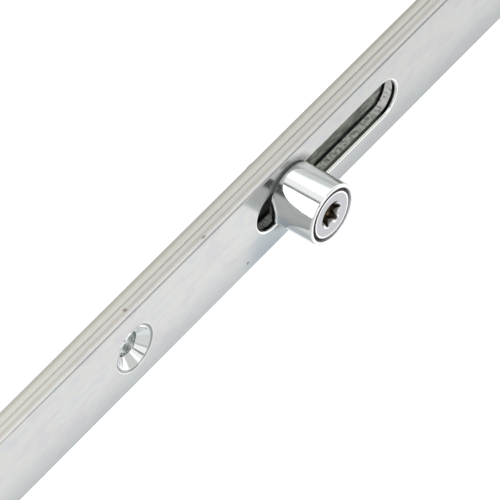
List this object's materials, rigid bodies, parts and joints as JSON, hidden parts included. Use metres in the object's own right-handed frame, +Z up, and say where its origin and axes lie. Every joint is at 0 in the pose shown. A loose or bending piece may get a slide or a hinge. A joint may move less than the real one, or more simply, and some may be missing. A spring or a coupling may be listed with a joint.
{
  "type": "multipoint door lock",
  "caption": "Flat faceplate of a multipoint door lock with a sliding drive rod behind it and a roller cam on an eccentric stud that runs in a long slot.",
  "frame": {"origin": "where the axis of the cam stud's neck meets the front face of the faceplate, on the bar's centre line; the roller's own axis lies 0.8 mm off it, towards +X", "axes": "+Z up the bar, -Y out of the door's edge along the roller, +X across the faceplate, to the right when the front face is looked at"},
  "size_m": [0.02, 0.021, 0.2412],
  "materials": {
    "plate_zinc": "bright zinc plating, satin",
    "rod_zinc": "bright zinc plating, satin",
    "stud_steel": "nickel plating, fine turned",
    "roller_chrome": "polished",
    "bush_nickel": "bright nickel",
    "spring_steel": "phosphated spring steel",
    "disc_plastic": "dark slide plastic"
  },
  "bodies": {
    "lock_bar": {"faceplate": "plate_zinc", "guide_bush_upper": "bush_nickel", "guide_bush_lower": "bush_nickel", "slide_disc_upper": "disc_plastic", "slide_disc_lower": "disc_plastic"},
    "rod": {"drive_rod": "rod_zinc"},
    "stud": {"cam_stud": "stud_steel", "cam_spring_washer": "spring_steel", "cam_retaining_clip": "spring_steel"},
    "roller": {"cam_roller": "roller_chrome"}
  },
  "joints": [
    {"name": "rod_slide", "type": "slide", "parent": "lock_bar", "child": "rod", "axis": [0, 0, 1], "range_m": [-0.03, 0.0058]},
    {"name": "cam_adjust", "type": "hinge", "parent": "rod", "child": "stud", "pos_m": [0, 0, 0], "axis": [0, -1, 0], "continuous": true},
    {"name": "roller_spin", "type": "hinge", "parent": "stud", "child": "roller", "pos_m": [0.0008, 0, 0], "axis": [0, -1, 0], "continuous": true}
  ]
}
